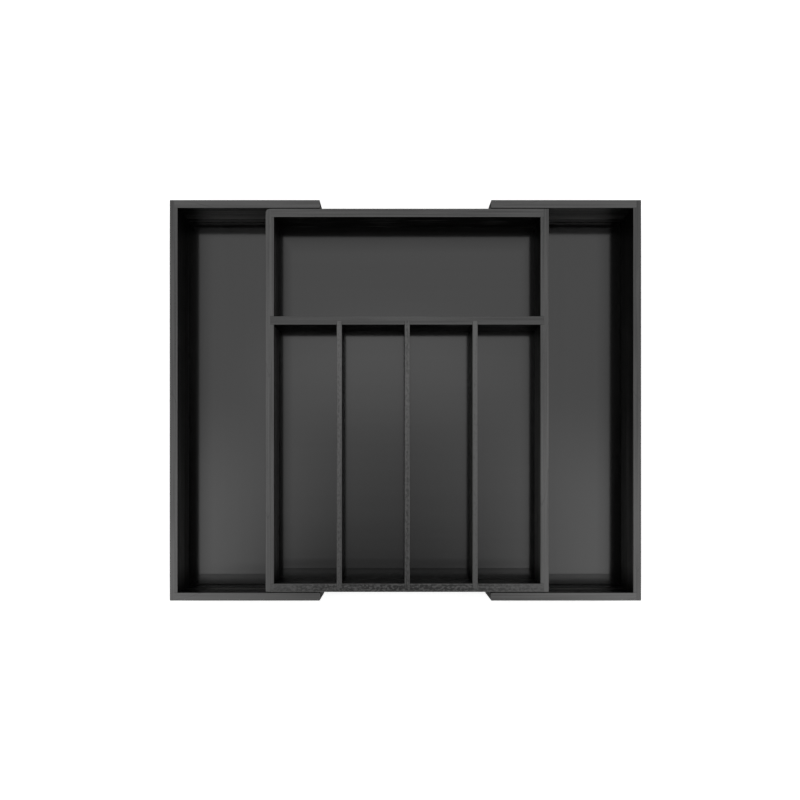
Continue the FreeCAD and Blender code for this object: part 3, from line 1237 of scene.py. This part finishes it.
@dataclass
class Studio:
    """White table, overhead soft light and the camera that looks straight down."""

    table_size: float = 9.0
    table_colour: Colour = (0.88, 0.88, 0.88, 1.0)
    table_glow: float = 0.55
    camera_place: Triple = (-0.0115, -0.0807, 1.0)
    camera_lens: float = 39.43
    camera_shift: Pair = (0.0066, 0.0944)
    room_light: float = 0.80
    light_size: float = 2.8
    light_place: Triple = (0.0, 0.1, 2.4)
    light_fade: Pair = (0.42, 0.54)
    light_levels: Pair = (0.68, 0.20)
    front_fade: Pair = (0.27, 0.42)
    front_level: float = 0.14
    shade_place: Triple = (-0.009, -0.378, 1.12)
    shade_size: float = 1.34
    shade_colour: Colour = (0.01, 0.01, 0.01, 1.0)
    glows: tuple[Patch, ...] = (
        Patch((0.488, 0.575, 0.0), (0.245, 0.11, 1.0), (0.2, 1.0), 0.39),
        Patch((0.246, 0.36, 0.0), (0.085, 0.14, 1.0), (0.0, 1.0), 0.09),
        Patch((0.758, 0.35, 0.0), (0.085, 0.14, 1.0), (0.0, 1.0), 0.09),
    )
    shades: tuple[Patch, ...] = (
        Patch((0.0, 0.0, 0.0), (0.440, 0.530, 1.0), (0.25, 1.25), 0.63),
        Patch((-0.05, -0.05, 0.0), (0.46, 0.27, 1.0), (0.30, 1.0), 0.45),
    )

    def card(self, name: str, size: float, place: Triple, material: bpy.types.Material) -> None:
        """Add a flat square to the stage.

        Args:
            name: Name of the square.
            size: Length of its sides.
            place: Place of its middle.
            material: Material that it gets.
        """
        bpy.ops.object.select_all(action="DESELECT")
        bpy.ops.mesh.primitive_plane_add(size=size, location=place)
        card = bpy.context.active_object
        card.name = name
        card.data.materials.append(material)

    def seen(self, graph: Graph) -> Socket:
        """Return a socket that tells which rays show the white background.

        Args:
            graph: Graph of the material or world.

        Returns:
            The socket, 1 for camera, glossy and transmission rays.
        """
        path = graph.add("ShaderNodeLightPath")
        first = graph.larger(path.outputs["Is Camera Ray"], path.outputs["Is Glossy Ray"])
        return graph.larger(first, path.outputs["Is Transmission Ray"])

    def table(self) -> None:
        """Add the white table top."""
        material, graph = start_material("white_table")
        matte = graph.add("ShaderNodeBsdfDiffuse", Color=self.table_colour).outputs[0]
        strength = graph.times(self.seen(graph), self.table_glow)
        glow = graph.add("ShaderNodeEmission", Strength=strength).outputs[0]
        both = graph.join("ShaderNodeAddShader", {}, matte, glow)
        graph.add("ShaderNodeOutputMaterial", Surface=both)
        self.card("table_top", self.table_size, (0.0, 0.0, 0.0), material)

    def room(self) -> None:
        """Set an even pale room."""
        world = bpy.data.worlds.new("pale_room")
        bpy.context.scene.world = world
        world.use_nodes = True
        graph = Graph(world.node_tree)
        strength = graph.spread(self.seen(graph), (0.0, 1.0), (self.room_light, 1.0))
        back = graph.add("ShaderNodeBackground", Color=(1.0, 1.0, 1.0, 1.0), Strength=strength)
        graph.add("ShaderNodeOutputWorld", Surface=back.outputs[0])

    def soft_light(self) -> None:
        """Add the wide soft box overhead, brighter towards the front and in three soft spots."""
        lamp = bpy.data.lights.new("soft_box", "AREA")
        lamp.shape = "SQUARE"
        lamp.size = self.light_size
        lamp.energy = math.pi * self.light_size**2
        lamp.use_nodes = True
        graph = Graph(lamp.node_tree)
        face = graph.add("ShaderNodeNewGeometry").outputs["Parametric"]
        back = graph.part(face, Axis.Y)
        strength = graph.spread(back, self.light_fade, self.light_levels)
        strength = graph.plus(strength, graph.spread(back, self.front_fade, (self.front_level, 0.0)))
        for spot in self.glows:
            strength = graph.plus(strength, spot.make(graph, face))
        glow = graph.add("ShaderNodeEmission", Strength=strength)
        graph.add("ShaderNodeOutputLight", Surface=glow.outputs[0])
        light = bpy.data.objects.new("soft_box", lamp)
        light.location = self.light_place
        bpy.context.scene.collection.objects.link(light)

    def camera_shade(self) -> None:
        """Add the dim shape behind the lens that the lacquer mirrors."""
        material, graph = start_material("shade_card")
        gap: Source = 1.0
        for shade in self.shades:
            gap = graph.times(gap, graph.minus(1.0, shade.make(graph, graph.place())))
        matte = graph.add("ShaderNodeBsdfDiffuse", Color=self.shade_colour).outputs[0]
        clear = graph.add("ShaderNodeBsdfTransparent").outputs[0]
        both = graph.join("ShaderNodeMixShader", {}, gap, matte, clear)
        graph.add("ShaderNodeOutputMaterial", Surface=both)
        self.card("lens_shade", self.shade_size, self.shade_place, material)

    def camera(self) -> None:
        """Add the camera at the photograph's viewpoint."""
        lens = bpy.data.cameras.new("photo_camera")
        lens.lens = self.camera_lens
        lens.shift_x, lens.shift_y = self.camera_shift
        camera = bpy.data.objects.new("photo_camera", lens)
        camera.location = self.camera_place
        bpy.context.scene.collection.objects.link(camera)
        bpy.context.scene.camera = camera

    def build(self) -> None:
        """Set the whole stage."""
        self.table()
        self.room()
        self.soft_light()
        self.camera_shade()
        self.camera()
        bpy.context.scene.view_settings.view_transform = "Standard"


def main() -> None:
    """Build the tray, its finishes and the studio, and log how many new pieces each part has."""
    logging.basicConfig(level=logging.INFO, format="%(name)s: %(message)s")
    shop = Workshop()
    # The side rim runs, lighter towards the front, carry painted light.
    left = Extension(shop, Side.LEFT, panel_seed=5.3, side_rim=(0.75, 0.48, 0.34), front_rim=1.00)
    right = Extension(shop, Side.RIGHT, panel_seed=7.9, side_rim=(0.54, 0.36, 0.06), front_rim=0.84)
    for assembly in (MainTray(shop), left, right):
        pieces = assembly.build()
        assembly.dress_nodes()
        LOG.info("%s has %d new pieces", type(assembly).__name__, len(pieces))
    Studio().build()


if __name__ == "__main__":
    main()
